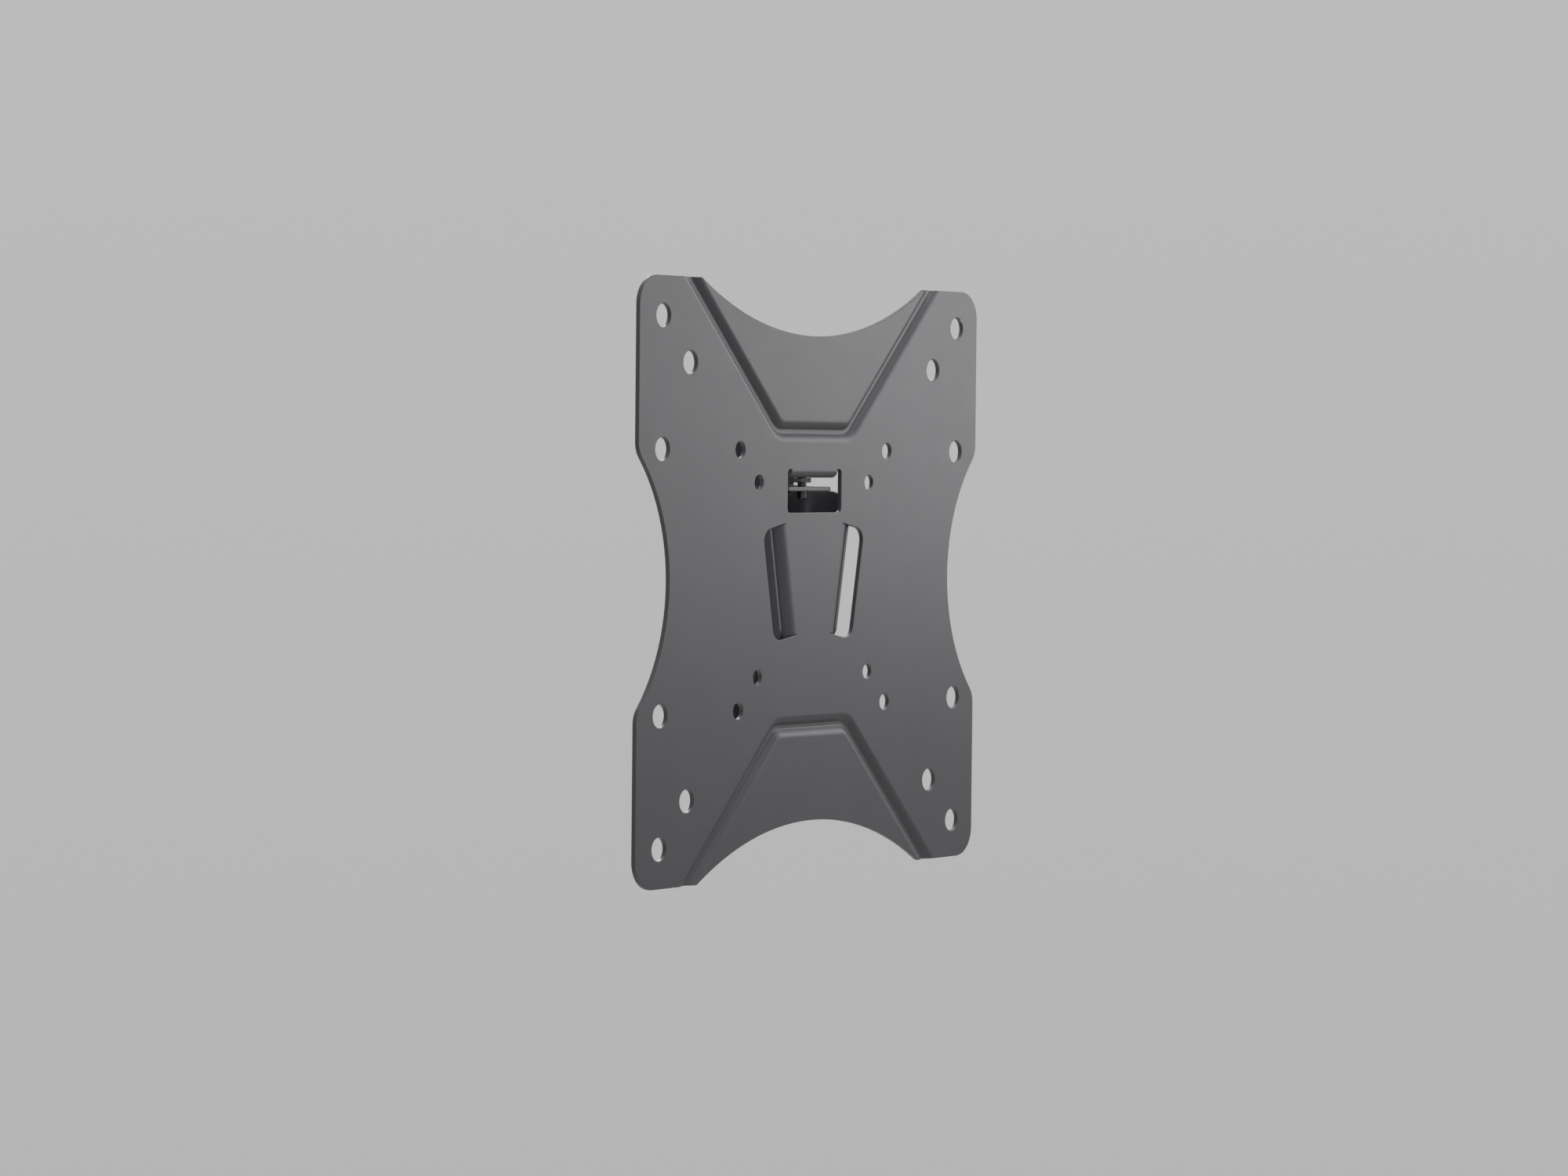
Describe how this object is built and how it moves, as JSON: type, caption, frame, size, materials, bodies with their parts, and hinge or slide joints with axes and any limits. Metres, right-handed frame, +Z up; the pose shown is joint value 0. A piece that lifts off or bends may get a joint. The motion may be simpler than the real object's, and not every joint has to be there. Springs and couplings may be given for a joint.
{
  "type": "tv wall mount",
  "caption": "Slim fixed wall mount for a flat screen: a pressed steel X-shaped plate hangs by splayed ears in a V-shaped wall bracket and is locked by a captive screw.",
  "frame": {"origin": "on the wall, at the wall plate's back face, behind the centre of the screen's hole patterns", "axes": "+Z up, +X to the right as seen from the screen's side, +Y into the wall, so the screen is towards -Y"},
  "size_m": [0.23, 0.027, 0.23],
  "materials": {
    "powder_coat": "satin powder coat on steel sheet",
    "rivet_steel": "bare pressed steel",
    "plated_steel": "dark plated steel"
  },
  "bodies": {
    "wall_bracket": {"wall_plate": "powder_coat", "receiver": "powder_coat", "receiver_rivets": "rivet_steel"},
    "screen_plate": {"screen_plate": "powder_coat"},
    "lock_screw": {"lock_screw": "plated_steel", "retaining_nut": "plated_steel"}
  },
  "joints": [
    {"name": "plate_lift", "type": "slide", "parent": "wall_bracket", "child": "screen_plate", "axis": [0, 0, 1], "range_m": [0, 0.025]},
    {"name": "lock_screw_turn", "type": "hinge", "parent": "screen_plate", "child": "lock_screw", "pos_m": [0, -0.0208, 0.0412], "axis": [0, 0, 1], "continuous": true}
  ]
}
